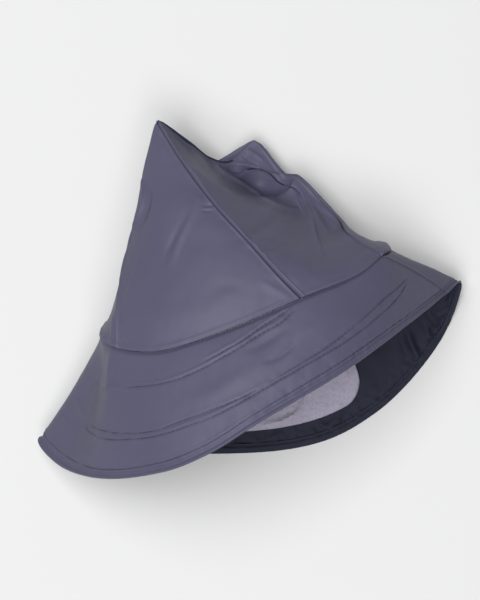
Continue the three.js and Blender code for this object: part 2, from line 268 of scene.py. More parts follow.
# The right panel's swell ends below the ridge: shares round and up it where that starts, and over
# what shares
RIDGE_EASE = ((0.02, 0.14), (0.40, 0.30))

# The view of the photograph: straight down and turned, in mm, with the mm of a pixel at a level
VIEW_TURN = math.radians(18.0)
VIEW_HEIGHT = 1500.0
VIEW_SCALE = 0.66
VIEW_LEVEL = 60.0
VIEW_X = -4.57
VIEW_Y = -3.37
FRAME_WIDTH = 480
FRAME_HEIGHT = 600
SENSOR = 36.0

# Lights: right, up and height in the view, width, depth, in metres, and power in watts
LIGHTS = {
    "key": (-0.75, 0.7, 3.6, 2.2, 2.2, 128.0),
    "low": (-0.3, -1.4, 3.2, 2.2, 1.8, 78.0),
}
LIGHT_AIM = 0.05
SKY = 0.12
FLOOR_HALF_SIDE = 6.0

# How much a stitch narrows towards its ends, and the name of the layer of cloth lengths
STITCH_TAPER = 2.4
LENGTHS = "cloth_length"

# Folds of the outer face as they show from the front: name, path in picture pixels, half width and
# rise in mm
FOLDS = [
    # left panel: bright fold below the hollow, the hollow, the double ridge above it
    ("under_hollow", [(218, 163), (225, 172), (235, 178), (248, 187), (262, 197), (275, 204),
        (285, 208), (297, 208)], 1.0, 2.6),
    ("under_hollow_short", [(227, 167), (233, 173), (241, 179)], 0.8, 0.8),
    ("hollow_crease", [(228, 164.5), (244, 169), (260, 175), (276, 180.5), (289, 187),
        (299, 196)], 5.6, -9.0),
    ("ridge_low", [(222, 162), (234, 162), (245, 163.5), (255, 168), (268, 171), (280, 172.5),
        (290, 173)], 1.0, 2.6),
    ("ridge_high", [(223, 158.5), (240, 160), (252, 164), (262, 167), (272, 170)], 0.8, 1.0),
    ("ridge_top", [(236, 155), (246, 160), (257, 165.5)], 0.7, 0.7),
    ("ridge_gap", [(228, 165.5), (244, 167), (254, 171.5), (270, 175)], 1.0, -0.7),
    ("peak_fold", [(243, 147), (252, 152), (263, 159)], 1.3, 0.9),
    ("peak_dent", [(249, 145), (240, 151), (228, 157)], 1.8, -1.2),
    ("shoulder", [(297, 185), (303, 197), (310, 215), (315, 234), (322, 252)], 1.5, 1.5),
    ("shoulder_short", [(295, 194), (299, 202), (303, 211)], 0.8, 0.7),
    ("shoulder_dent", [(308, 190), (318, 206), (328, 222), (340, 240)], 2.8, -1.5),
    ("shoulder_outer", [(318, 203), (327, 211), (336, 219), (345, 232), (354, 242)], 1.2, 1.4),
    # left panel: soft folds
    ("left_dark_band", [(176, 134), (192, 148), (208, 160), (222, 172)], 6.0, -2.2),
    ("left_lit_edge", [(186, 166), (204, 178), (222, 187), (240, 191)], 4.6, 2.4),
    ("left_soft_a", [(238, 239), (250, 235), (262, 229), (277, 219)], 3.4, -1.1),
    ("left_soft_b", [(250, 246), (264, 240), (282, 235)], 2.0, 0.7),
    ("left_soft_c", [(258, 250), (270, 248), (284, 247)], 1.6, -0.6),
    ("left_soft_d", [(260, 254), (272, 253), (284, 252)], 1.2, 0.5),
    ("left_low", [(306, 268), (324, 256), (342, 248)], 6.0, -0.8),
    ("left_edge_soft", [(352, 262), (362, 258), (372, 252)], 2.4, 0.8),
    # front panel
    ("front_pull", [(204, 206), (212, 205), (219, 205)], 0.9, -0.8),
    ("front_pull_light", [(204, 209), (212, 208), (219, 207)], 0.7, 0.5),
    ("front_pull_spot", [(202, 211), (207, 210.5), (211, 210.5)], 0.9, -0.6),
    ("front_fold", [(200, 196), (190, 215), (180, 235), (175, 250), (172, 260)], 2.8, 1.5),
    ("front_fold_dark", [(196, 203), (181, 228), (169, 248), (164, 262)], 2.6, -1.2),
    ("front_faint", [(141, 250), (133, 275), (128, 295), (123, 325), (119, 345)], 1.1, 0.5),
    ("front_dent", [(147, 258), (152, 272), (156, 288)], 3.4, -0.8),
    ("front_side_fold", [(142, 180), (143.5, 192), (142, 205), (137, 218), (131, 230)], 1.1, 1.9),
    ("front_side_dent", [(148, 184), (149, 200), (144, 216), (137, 232)], 1.8, -1.4),
    ("front_foot_light", [(118, 284), (117.5, 310), (117, 344)], 0.8, 0.8),
    ("front_foot_dark", [(115, 290), (114.5, 315), (114.5, 342)], 0.8, -0.8),
    ("front_foot_edge", [(112.5, 316), (112, 330), (111.5, 344)], 0.8, 0.7),
    ("front_low", [(212, 291), (228, 285), (242, 286)], 5.0, -0.6),
    ("front_low_right", [(262, 282), (276, 290), (290, 297)], 2.6, 0.6),
    # brim
    ("brim_cross_up", [(112, 350), (110.5, 364), (109.5, 380), (110, 396)], 2.4, 1.8),
    ("brim_cross_side", [(96, 389), (109, 388), (122, 387.5)], 1.8, 1.3),
    ("brim_side_a", [(104, 352), (98, 372), (84, 396), (70, 412)], 4.0, -1.0),
    ("brim_side_b", [(74, 398), (83, 414), (87, 428)], 2.0, 0.9),
    ("brim_side_c", [(60, 408), (72, 420), (80, 432)], 1.8, -0.7),
    ("brim_band_a", [(180, 405), (212, 394), (244, 376), (270, 361)], 6.0, 1.0),
    ("brim_band_b", [(250, 350), (266, 341), (284, 329)], 3.2, -1.0),
    ("brim_band_c", [(266, 362), (278, 357), (290, 348), (296, 338)], 2.2, -0.9),
    ("brim_band_d", [(300, 336), (318, 326), (338, 310)], 5.0, 0.7),
    ("brim_low", [(110, 452), (150, 456), (190, 446)], 5.0, 0.6),
    ("brim_left_soft", [(60, 436), (84, 448), (108, 454)], 4.0, -0.6),
    ("brim_right_soft", [(396, 292), (410, 284), (424, 285)], 5.0, -0.5),
]

# Folds of the neck flap's inner face, as they show past the brim
UNDER_FOLDS = [
    ("under_bright", [(407, 330), (410, 340), (414, 350), (421, 359)], 2.4, 3.2),
    ("under_dark", [(400, 336), (404, 348), (409, 360)], 2.4, -1.2),
    ("under_upper", [(426, 310), (432, 319), (438, 326)], 2.4, 2.2),
    ("under_side", [(421, 318), (427, 330), (427, 342)], 2.6, 1.6),
    ("under_soft", [(372, 352), (380, 364), (384, 382)], 5.0, 1.0),
    ("under_foot", [(366, 396), (376, 388), (388, 376)], 3.0, 0.8),
]

# Folds of the neck fleece, as they show past the brim
FLEECE_FOLDS = [
    ("fleece_turn", [(302, 399), (300, 407), (293, 414), (281, 420), (266, 424)], 1.3, 3.0),
    ("fleece_dent", [(309, 400), (305, 409), (298, 418)], 2.4, -2.0),
    ("fleece_mark", [(327, 404), (334, 402)], 0.9, -1.1),
    ("fleece_soft", [(316, 412), (326, 408), (338, 400)], 2.0, 0.6),
]

# How steep a face may be before folds fade on it, how far a fold reaches in half widths, and how
# its ends taper
FACING = (0.05, 0.3)
FOLD_REACH = 3.0
FOLD_TAPER = (0.04, 0.6)

# Places that stand out at the seams' ends: picture pixels, reach and rise in mm
SEAM_BULKS = [
    (386, 248, 5.0, 1.7),
    (379, 246, 4.0, 1.0),
]

# Stitched rows of the front brim, from the front, in picture pixels
ROW_PATHS = {
    "one_low": [(122, 388), (136, 387), (150, 385.5), (165, 382.5), (180, 378), (195, 371.5),
        (210, 364), (224, 356), (240, 347), (252, 339), (265, 331), (275, 326), (285, 319),
        (292, 312), (299, 305)],
    "one_high": [(196, 365), (210, 358), (225, 350), (240, 341.5), (262, 326), (280, 315),
        (291, 307)],
    "two_high": [(86, 419), (90, 425.5), (97, 429), (110, 432.5), (125, 433.5), (140, 433),
        (155, 430.5), (180, 421.5), (200, 414), (220, 406.5), (240, 398), (262, 387), (280, 376),
        (300, 364), (320, 352), (340, 338), (360, 322), (372, 311), (386, 298), (397, 289),
        (409, 277)],
    "two_low": [(84, 426), (89, 432), (97, 437), (110, 439.5), (130, 439.5), (150, 437.5),
        (170, 432), (190, 425), (205, 419.5), (220, 413), (250, 397), (280, 380), (300, 369),
        (320, 357.5), (340, 346), (355, 336), (370, 324.5), (381, 315), (391, 306), (400, 296),
        (409, 281)],
}
ROW_ANGLES = (18.0, 206.0, 3.0)
ROW_SHARES = 241
ROW_NEAR = 1.2
ROW_END = 3.0

# How deep the stitches sink into the cloth, in mm, and points along a row and round the hem
ROW_SINK = 0.25
HEM_SINK = 0.2
ROW_POINTS = 500
HEM_POINTS = 1200


# ---------------------------------------------------------------- curves and surfaces


def through(keys, values, at, turn=0.0):
    """Smooth curve through a table's rows; a closed one repeats every full turn."""
    keys = np.asarray(keys, float)
    values = np.asarray(values, float)
    if turn:
        keys = np.concatenate([keys - turn, keys, keys + turn])
        values = np.concatenate([values, values, values])
        at = keys[len(keys) // 3] + np.mod(at - keys[len(keys) // 3], turn)
    at = np.asarray(at, float)
    k = np.clip(np.searchsorted(keys, at, side="right") - 1, 0, len(keys) - 2)
    before = np.maximum(k - 1, 0)
    after = np.minimum(k + 2, len(keys) - 1)
    span = keys[k + 1] - keys[k]
    s = (at - keys[k]) / span
    start = (values[k + 1] - values[before]) / (keys[k + 1] - keys[before])
    end = (values[after] - values[k]) / (keys[after] - keys[k])
    ease = s * s * (3 - 2 * s)
    return (values[k] + ease * (values[k + 1] - values[k])
            + s * (1 - s) ** 2 * span * start + s * s * (s - 1) * span * end)


def unit(vectors):
    """Vectors made one long."""
    return vectors / np.maximum(np.linalg.norm(vectors, axis=-1, keepdims=True), 1e-9)


def places(table, at, length, turn=0.0):
    """Points on the curve through a table of shares of the hat's sizes."""
    sizes = (HEAD_HALF_WIDTH, length, HEAD_HEIGHT)
    return np.stack([size * through(table[:, 0], table[:, c + 1], at, turn)
                     for c, size in enumerate(sizes)], -1)


def edge_points(angle):
    """Points on the crown edge."""
    return places(CROWN_EDGE, angle, CROWN_LENGTH, 360.0)


def rim_points(angle):
    """Points on the brim's rim."""
    return places(BRIM_RIM, angle, FLAP_REACH, 360.0)


def ridge_points(share):
    """Points on the ridge between the tips."""
    return places(RIDGE_CURVE, share, CROWN_LENGTH)


def tips():
    """The crown's two tips."""
    return ridge_points(np.array([0.0, 1.0]))


def brim_length(angle):
    """How long the brim is from the crown edge to its rim."""
    return np.linalg.norm(rim_points(angle) - edge_points(angle), axis=-1)


def seam_points(rows, angle, rise):
    """Points up a crown seam, which starts on the crown edge at an angle."""
    foot = edge_points(np.array([angle]))[0]
    base = (0.0, foot[0] / HEAD_HALF_WIDTH, foot[1] / CROWN_LENGTH, foot[2] / HEAD_HEIGHT)
    return places(np.array([base] + rows), rise, CROWN_LENGTH)


SEAM_OF = {
    "left": ((LEFT_CURVE, LEFT_SEAM), (FRONT_LEFT_CURVE, FRONT_LEFT_SEAM)),
    "front": ((FRONT_LEFT_CURVE, FRONT_LEFT_SEAM), (FRONT_RIGHT_CURVE, FRONT_RIGHT_SEAM)),
    "right": ((FRONT_RIGHT_CURVE, FRONT_RIGHT_SEAM), (RIGHT_CURVE, RIGHT_SEAM)),
    "back": ((RIGHT_CURVE, RIGHT_SEAM), (LEFT_CURVE, LEFT_SEAM)),
}


def eased(value):
    """Smooth step from 0 to 1."""
    value = np.clip(value, 0, 1)
    return value * value * (3 - 2 * value)


def settle(z):
    """Heights of cloth that rolls onto the floor instead of passing through it."""
    rolled = (z + FLOOR_ROLL) ** 2 / (4 * FLOOR_ROLL)
    return np.where(z >= FLOOR_ROLL, z, np.where(z <= -FLOOR_ROLL, 0.0, rolled))


def sideways(points, middle_z, lean=SIDE_LEAN):
    """Directions out from the hat's middle line, in which the cloth swells."""
    level = np.zeros_like(points[..., 0])
    return unit(np.stack([points[..., 0], level, lean * (points[..., 2] - middle_z)], -1))


def wide_fold_rise(points):
    """Height of the left panel's wide folds."""
    rise = np.zeros(points.shape[:-1])
    for from_x, from_y, to_x, to_y, width, height in WIDE_FOLDS:
        start = np.array([from_x * HEAD_HALF_WIDTH, from_y * CROWN_LENGTH])
        step = np.array([(to_x - from_x) * HEAD_HALF_WIDTH, (to_y - from_y) * CROWN_LENGTH])
        off = points[..., :2] - start
        along = np.clip(off @ step / (step @ step), 0, 1)
        away = np.linalg.norm(off - along[..., None] * step, axis=-1) / (width * HEAD_HALF_WIDTH)
        rise += height * HEAD_HALF_WIDTH * np.exp(-away ** 2)
    return rise


def crown_grid(name, share, rise):
    """Outer face of a crown panel over a grid of shares round it and rises up it."""
    first, last, ridge_first, ridge_last, _ = PANELS[name]
    swell, fullest, fading, lean = PANEL_FORM[name]
    s = share[:, None, None]
    r = rise[None, :, None]
    feet = edge_points(first + share * (last - first))[:, None]
    foot_a = edge_points(np.array([first]))[0]
    foot_b = edge_points(np.array([last]))[0]
    tops = ridge_points(ridge_first + share * (ridge_last - ridge_first))[:, None]
    top_a = ridge_points(np.array([ridge_first]))[0]
    top_b = ridge_points(np.array([ridge_last]))[0]
    (rows_a, angle_a), (rows_b, angle_b) = SEAM_OF[name]
    side_a = seam_points(rows_a, angle_a, rise)[None]
    side_b = seam_points(rows_b, angle_b, rise)[None]
    points = side_a * (1 - s) + side_b * s
    points = points + (feet - foot_a * (1 - s) - foot_b * s) * (1 - r) ** fading
    points = points + (tops - top_a * (1 - s) - top_b * s) * r
    middle_z = 0.5 * HEAD_HEIGHT * (1 - 0.6 * rise)[None, :]
    lift = (r / fullest) ** (2 * fullest) * ((1 - r) / (1 - fullest)) ** (2 * (1 - fullest))
    bulge = 4 * s * (1 - s) * lift * swell * HEAD_HALF_WIDTH
    if name == "right":
        (from_s, over_s), (from_r, over_r) = RIDGE_EASE
        bulge = bulge * (1 - eased((s - from_s) / over_s) * eased((r - from_r) / over_r))
    points = points + sideways(points, middle_z, lean) * bulge
    if name == "left":
        fade = np.minimum(8 * np.minimum(s, 1 - s), np.minimum(7 * (1 - r), 5 * r))[..., 0]
        points[..., 2] += np.minimum(fade, 1) * wide_fold_rise(points)
    points[..., 2] = settle(points[..., 2])
    return points


def brim_grid(angle, share):
    """Outer face of the brim: share is 0 at the crown edge and 1 at the rim."""
    angle, share = np.broadcast_arrays(angle, share)
    foot = edge_points(angle)
    rim = rim_points(angle)
    points = foot + (rim - foot) * share[..., None]
    bow = HEAD_HEIGHT * through(BRIM_BOW[:, 0], BRIM_BOW[:, 1], angle, 360.0)
    bow = (4 * share * (1 - share) * bow)[..., None]
    points = points + sideways(points, 0.5 * HEAD_HEIGHT) * bow
    points[..., 2] = settle(points[..., 2])
    return points


def normals_of(points):
    """Outward directions of a grid, with collapsed rows taking their neighbour's."""
    du = np.gradient(points, axis=0)
    dv = np.gradient(points, axis=1)
    normal = np.cross(du, dv)
    size = np.linalg.norm(normal, axis=-1, keepdims=True)
    normal = normal / np.maximum(size, 1e-9)
    if size[:, 0].max() < 1e-6:
        shared = normal[:, 1].mean(axis=0)
        normal[:, 0] = shared / np.linalg.norm(shared)
    return normal


def picture_place(points):
    """Where points of the hat fall in the photograph, in pixels."""
    scale = VIEW_SCALE * (VIEW_HEIGHT - points[..., 2]) / (VIEW_HEIGHT - VIEW_LEVEL)
    x = points[..., 0] - VIEW_X
    y = points[..., 1] - VIEW_Y
    right = x * math.cos(VIEW_TURN) - y * math.sin(VIEW_TURN)
    up = x * math.sin(VIEW_TURN) + y * math.cos(VIEW_TURN)
    return np.stack([FRAME_WIDTH / 2 + right / scale, FRAME_HEIGHT / 2 - up / scale], -1)


def soft_path(path):
    """Smooth curve through a path, with two points to each picture pixel."""
    path = np.array(path, float)
    keys = np.concatenate([[0], np.cumsum(np.linalg.norm(np.diff(path, axis=0), axis=1))])
    at = np.linspace(0, keys[-1], int(2 * keys[-1]) + 12)
    return np.stack([through(keys, path[:, c], at) for c in range(2)], -1)


def fold_rise(points, facing_up, folds, strength):
    """Height of the folds that show from the front, in mm."""
    place = picture_place(points).reshape(-1, 2)
    facing = np.clip((facing_up.reshape(-1) - FACING[0]) / FACING[1], 0, 1)
    total = np.zeros(len(place))
    for name, path, width, rise in folds:
        curve = soft_path(path)
        reach = FOLD_REACH * width / VIEW_SCALE
        low = curve.min(axis=0) - reach
        high = curve.max(axis=0) + reach
        near = np.flatnonzero(np.all((place > low) & (place < high), axis=1) & (facing > 0))
        if not len(near):
            continue
        gap = np.linalg.norm(place[near, None] - curve[None], axis=-1)
        nearest = gap.argmin(axis=1)
        away = gap[np.arange(len(near)), nearest] * VIEW_SCALE / width
        along = nearest / (len(curve) - 1)
        end, bluntness = FOLD_TAPER
        taper = np.clip(np.sin(math.pi * (end + (1 - 2 * end) * along)), 0, 1) ** bluntness
        profile = np.exp(-away) if name.endswith("_crease") else np.exp(-away ** 2)
        total[near] += rise * taper * profile
    return strength * (total * facing).reshape(points.shape[:-1])


def bulk_rise(points):
    """Height of the thick places where seams end."""
    place = picture_place(points)
    total = np.zeros(points.shape[:-1])
    for across, down, reach, rise in SEAM_BULKS:
        away = np.hypot(place[..., 0] - across, place[..., 1] - down) * VIEW_SCALE / reach
        total += rise * np.exp(-away ** 2)
    return total


def blunted(points):
    """Rounds off the crown's two tips."""
    for tip in tips():
        inward = unit(np.array([0.0, 0.3 * CROWN_LENGTH, 0.3 * HEAD_HEIGHT]) - tip)
        near = np.clip(1 - np.linalg.norm(points - tip, axis=-1) / TIP_NEAR, 0, 1)
        points = points + inward * (TIP_ROUNDING * near ** 1.5)[..., None]
    return points


def brim_places(path):
    """A picture path as rows of angle and share on the brim."""
    curve = soft_path(path)[::2]
    angle = np.arange(*ROW_ANGLES)
    share = np.linspace(0, 1, ROW_SHARES)
    place = picture_place(brim_grid(angle[:, None], share[None]))
    found = []
    for turn, line in zip(angle, place):
        gap = np.linalg.norm(line[:, None] - curve[None], axis=-1).min(axis=1)
        best = int(np.clip(gap.argmin(), 1, len(share) - 2))
        if gap[best] > ROW_NEAR:
            continue
        beside = best + (1 if gap[best + 1] < gap[best - 1] else -1)
        weight = gap[beside] / (gap[best] + gap[beside])
        found.append((turn, weight * share[best] + (1 - weight) * share[beside]))
    return np.array(found)


def ripple(points, length, seed, count=14):
    """Even, seeded waviness of cloth, about -1 to 1."""
    rng = np.random.default_rng(seed)
    total = np.zeros(points.shape[:-1])
    for _ in range(count):
        direction = rng.normal(size=3)
        direction *= 2 * math.pi / (length * rng.uniform(0.7, 1.6) * np.linalg.norm(direction))
        total += np.sin(points @ direction + rng.uniform(0, 2 * math.pi))
    return total / math.sqrt(count)


def waves(points, rows):
    """Waves of cloth or nap, in mm."""
    return sum(rise * ripple(points, length, seed) for rise, length, seed in rows)


def puckers(points, distance, reach, rise, length, seed):
    """Waves that fade away from a seam, in mm."""
    return rise * np.exp(-(distance / reach) ** 2) * ripple(points, length, seed)


def ridges(distance, rows):
    """Ridges and grooves along an edge, in mm."""
    return sum(rise * np.exp(-((distance - at) / width) ** 2) for at, width, rise in rows)


def grown(distance, reach, least=0.0):
    """Grows evenly from its least at an edge to 1 at its reach."""
    return least + (1 - least) * np.clip(distance / reach, 0, 1)


def rounded(distance, reach):
    """Grows along a quarter circle from 0 at an edge to 1 at its reach."""
    return np.sqrt(1 - (1 - grown(distance, reach)) ** 2)


def lengths_along(points, axis):
    """Length of a grid's lines from their start."""
    step = np.linalg.norm(np.diff(points, axis=axis), axis=-1)
    pad = [(0, 0), (0, 0)]
    pad[axis] = (1, 0)
    return np.pad(np.cumsum(step, axis=axis), pad)


# ---------------------------------------------------------------- meshes


def in_frame(points):
    """Points of the part's source, in metres of the shared frame."""
    return (points - np.array([MIDDLE_X, MIDDLE_Y, 0.0])) * 0.001


def placed(name, data):
    """An object with this data, put into the scene."""
    thing = bpy.data.objects.new(name, data)
    bpy.context.scene.collection.objects.link(thing)
    return thing


def closed_sheet(name, outer, inner, cloth, back=None, cup=False):
    """A piece of cloth: two faces and its edges, with lengths in metres as UV.

    A cup closes on itself round its columns, and its first row is a single point.
    """
    columns, rows = outer.shape[:2]
    index = np.arange(columns * rows).reshape(columns, rows)
    if cup:
        index[:, 0] = index[0, 0]
        index = np.concatenate([index, index[:1]])
    under = index + columns * rows

    def cells(grid):
        corners = [grid[:-1, :-1], grid[1:, :-1], grid[1:, 1:], grid[:-1, 1:]]
        return np.stack(corners, -1).reshape(-1, 4)

    def strip(top, bottom):
        return np.stack([top[:-1], top[1:], bottom[1:], bottom[:-1]], -1)

    parts = [cells(index), cells(under)[:, ::-1], strip(index[:, -1], under[:, -1])]
    if not cup:
        parts += [strip(index[0], under[0]), strip(under[-1], index[-1]),
                  strip(under[:, 0], index[:, 0])]
    used, faces = np.unique(np.concatenate(parts), return_inverse=True)
    faces = faces.reshape(-1, 4).tolist()
    if cup:
        faces = [list(dict.fromkeys(face)) for face in faces]
    vertices = in_frame(np.concatenate([outer.reshape(-1, 3), inner.reshape(-1, 3)])[used])
    mesh = bpy.data.meshes.new(name)
    mesh.from_pydata(vertices.tolist(), [], faces)
    mesh.validate()
    along = lengths_along(outer, 0)
    down = lengths_along(outer, 1)
    uv_of = np.stack([along.reshape(-1), down.reshape(-1)], -1)
    uv_of = np.concatenate([uv_of, uv_of])[used] * 0.001
    layer = mesh.uv_layers.new(name=LENGTHS)
    loops = np.zeros(len(mesh.loops), int)
    mesh.loops.foreach_get("vertex_index", loops)
    layer.data.foreach_set("uv", uv_of[loops].reshape(-1))
    mesh.polygons.foreach_set("use_smooth", np.ones(len(mesh.polygons), bool))
    mesh.materials.append(cloth)
    if back is not None:
        mesh.materials.append(back)
        first_loop = np.zeros(len(mesh.polygons), int)
        mesh.polygons.foreach_get("loop_start", first_loop)
        is_back = (loops[first_loop] >= columns * rows).astype(int)
        mesh.polygons.foreach_set("material_index", is_back)
    mesh.update()
    mesh.set_sharp_from_angle(angle=SHARP_ANGLE)
    return placed(name, mesh)


# ---------------------------------------------------------------- materials


class Socket:
    """A node's output that adds, subtracts, multiplies and divides like a number."""

    def __init__(self, nodes, socket):
        self.nodes = nodes
        self.socket = socket

    def math(self, operation, *values, clamp=False):
        return self.nodes.node("ShaderNodeMath", dict(enumerate(values)), operation=operation,
                               use_clamp=clamp)

    def __add__(self, other):
        return self.math("ADD", self, other)

    def __sub__(self, other):
        return self.math("SUBTRACT", self, other)

    def __rsub__(self, other):
        return self.math("SUBTRACT", other, self)

    def __mul__(self, other):
        return self.math("MULTIPLY", self, other)

    def __truediv__(self, other):
        return self.math("DIVIDE", self, other)

    def __rtruediv__(self, other):
        return self.math("DIVIDE", other, self)

    __radd__ = __add__
    __rmul__ = __mul__

    def sine(self):
        return self.math("SINE", self)

    def clamped(self):
        return self.math("ADD", self, 0.0, clamp=True)

    def beside(self, key):
        """Another output of the same node."""
        return Socket(self.nodes, self.socket.node.outputs[key])


class Nodes:
    """A node tree in which one method makes every node."""

    def __init__(self, tree):
        self.tree = tree

    def feed(self, socket, value):
        """Links a value in, or sets it."""
        if isinstance(value, Socket):
            self.tree.links.new(value.socket, socket)
        else:
            socket.default_value = value

    def node(self, kind, inputs=None, out=0, **settings):
        """Makes a node: its settings first, then its inputs' values and links."""
        made = self.tree.nodes.new(kind)
        for key, value in settings.items():
            setattr(made, key, value)
        for key, value in (inputs or {}).items():
            self.feed(made.inputs[key], value)
        return Socket(self, made.outputs[out]) if made.outputs else None


class Finish(Nodes):
    """Builds one procedural material."""

    def __init__(self, name):
        self.material = bpy.data.materials.new(name)
        self.material.use_nodes = True
        super().__init__(self.material.node_tree)
        self.shader = self.tree.nodes["Principled BSDF"]

    def noise(self, scale, detail, roughness):
        place = self.node("ShaderNodeTexCoord", out="Object")
        inputs = {"Scale": scale, "Detail": detail, "Roughness": roughness, "Vector": place}
        return self.node("ShaderNodeTexNoise", inputs, out="Fac")

    def blend(self, factor, colour, spread):
        """A colour that runs from darker to lighter by a share of itself."""
        low, high = ((*(part * (1 + turn * spread) for part in colour), 1.0) for turn in (-1, 1))
        inputs = {0: factor, 6: low, 7: high}
        return self.node("ShaderNodeMix", inputs, out=2, data_type="RGBA")

    def weave(self, threads_per_metre):
        """Plain weave: crossed threads, over the cloth's own lengths."""
        lengths = self.node("ShaderNodeUVMap", uv_map=LENGTHS)
        across = self.node("ShaderNodeSeparateXYZ", {0: lengths})
        turn = 2 * math.pi * threads_per_metre
        return (across * turn).sine() * (across.beside(1) * turn).sine()

    def set(self, **values):
        for key, value in values.items():
            self.feed(self.shader.inputs[key.replace("_", " ")], value)

    def bump(self, height, strength, distance):
        inputs = {"Strength": strength, "Distance": distance, "Height": height}
        self.set(Normal=self.node("ShaderNodeBump", inputs))


def coated_cloth(finish, settings):
    """Satin coated cloth: even colour, faint weave under the coat, soft gloss."""
    patches = finish.noise(14.0, 3.0, 0.55)
    fine = finish.noise(900.0, 2.0, 0.6)
    scuff = finish.noise(60.0, 4.0, 0.6)
    tone = (patches * 0.7 + scuff * 0.3).clamped()
    finish.set(Base_Color=finish.blend(tone, settings.cloth_colour, 0.08))
    finish.set(Roughness=(scuff * 0.10 + patches * 0.06 + 0.38).clamped())
    finish.set(Coat_Weight=0.02, Coat_Roughness=0.36)
    finish.set(IOR=1.47, Specular_IOR_Level=0.22)
    finish.bump(finish.weave(1500.0) * 0.25 + fine * 0.35 + scuff * 0.6, 0.22, 0.0006)


def underside_cloth(finish, settings):
    """Dull back of the cloth."""
    patches = finish.noise(18.0, 3.0, 0.55)
    fine = finish.noise(1100.0, 2.0, 0.6)
    finish.set(Base_Color=finish.blend(patches, settings.underside_colour, 0.27))
    finish.set(Roughness=(fine * 0.1 + 0.62).clamped())
    finish.set(Specular_IOR_Level=0.25)
    finish.bump(finish.weave(1250.0) * 0.5 + fine * 0.5, 0.3, 0.0006)


def fleece(finish, settings):
    """Napped fleece: pale grey tufts with a soft sheen."""
    tufts = finish.noise(420.0, 4.0, 0.7)
    clumps = finish.noise(130.0, 3.0, 0.6)
    patches = finish.noise(30.0, 2.0, 0.5)
    tone = (tufts * 0.55 + clumps * 0.35 + patches * 0.25 - 0.1).clamped()
    finish.set(Base_Color=finish.blend(tone, settings.fleece_colour, 0.40))
    finish.set(Roughness=0.95, Sheen_Weight=0.35, Sheen_Roughness=0.6)
    finish.bump(tufts * 0.6 + clumps * 0.8, 0.85, settings.nap_depth)


def thread(finish, settings):
    """Twisted sewing thread."""
    twist = finish.noise(2600.0, 1.0, 0.5)
    finish.set(Base_Color=finish.blend(twist, settings.thread_colour, 0.4))
    finish.set(Roughness=(twist * 0.2 + 0.45).clamped())
    finish.bump(twist, 0.4, 0.0002)


def pale_floor(finish, settings):
    """Matte white backdrop."""
    grain = finish.noise(3.0, 3.0, 0.5)
    finish.set(Base_Color=finish.blend(grain, (0.6, 0.6, 0.6), 1 / 120))
    finish.set(Roughness=0.9)


@functools.lru_cache
def material(look):
    """The material of a look, made once from the settings."""
    finish = Finish(look.__name__)
    look(finish, bpy.context.scene.hat_settings)
    return finish.material


# ---------------------------------------------------------------- stitches


def stitch_tree(settings):
    """Geometry Nodes: one thread stitch at each step along the curves, and its sizes by name."""
    tree = bpy.data.node_groups.new("stitch_row", "GeometryNodeTree")
    tree.is_modifier = True
    sizes = {"Stitch Step": settings.stitch_step, "Stitch Length": settings.stitch_length,
             "Thread Radius": settings.thread_radius}
    tree.interface.new_socket("Geometry", in_out="INPUT", socket_type="NodeSocketGeometry")
    for label, value in sizes.items():
        socket = tree.interface.new_socket(label, in_out="INPUT", socket_type="NodeSocketFloat")
        socket.default_value = value
        socket.min_value = 0.0001
        socket.subtype = "DISTANCE"
    tree.interface.new_socket("Geometry", in_out="OUTPUT", socket_type="NodeSocketGeometry")
    nodes = Nodes(tree)
    curve = nodes.node("NodeGroupInput")
    step, length, radius = (curve.beside(label) for label in sizes)
    points = nodes.node("GeometryNodeResampleCurve", mode="LENGTH", inputs={
        "Curve": curve, "Length": step})
    rod = nodes.node("GeometryNodeMeshCylinder", fill_type="TRIANGLE_FAN", inputs={
        "Vertices": 6, "Side Segments": 3, "Radius": radius, "Depth": length})
    place = nodes.node("GeometryNodeInputPosition")
    along = nodes.node("ShaderNodeSeparateXYZ", {0: place}, out=2) / length
    slim = 1 - along * along * STITCH_TAPER
    slim = nodes.node("ShaderNodeCombineXYZ", {0: slim, 1: slim, 2: 1.0})
    slim = nodes.node("ShaderNodeVectorMath", {0: place, 1: slim}, operation="MULTIPLY")
    stitch = nodes.node("GeometryNodeSetPosition", {"Geometry": rod, "Position": slim})
    turn = nodes.node("FunctionNodeAlignRotationToVector", axis="Z", inputs={
        "Vector": nodes.node("GeometryNodeInputTangent")})
    sown = nodes.node("GeometryNodeInstanceOnPoints", {
        "Points": points, "Instance": stitch, "Rotation": turn})
    real = nodes.node("GeometryNodeRealizeInstances", {"Geometry": sown})
    nodes.node("NodeGroupOutput", {"Geometry": nodes.node("GeometryNodeSetMaterial", {
        "Geometry": real, "Material": material(thread)})})
    return tree, sizes


def stitched_rows(name, lines, settings):
    """Joins rows of points into one piece of stitches."""
    curve = bpy.data.curves.new(name + "_guide", "CURVE")
    curve.dimensions = "3D"
    for line in lines:
        spline = curve.splines.new("POLY")
        spline.points.add(len(line) - 1)
        flat = np.concatenate([in_frame(line), np.ones((len(line), 1))], axis=1)
        spline.points.foreach_set("co", flat.reshape(-1))
    guide = placed(name + "_guide", curve)
    modifier = guide.modifiers.new("stitches", "NODES")
    modifier.node_group, sizes = stitch_tree(settings)
    for item in modifier.node_group.interface.items_tree:
        if item.name in sizes:
            modifier[item.identifier] = sizes[item.name]
    graph = bpy.context.evaluated_depsgraph_get()
    graph.update()
    mesh = bpy.data.meshes.new_from_object(guide.evaluated_get(graph), depsgraph=graph)
    mesh.name = name
    bpy.data.objects.remove(guide, do_unlink=True)
    mesh.polygons.foreach_set("use_smooth", np.ones(len(mesh.polygons), bool))
    return placed(name, mesh)


# ---------------------------------------------------------------- the hat


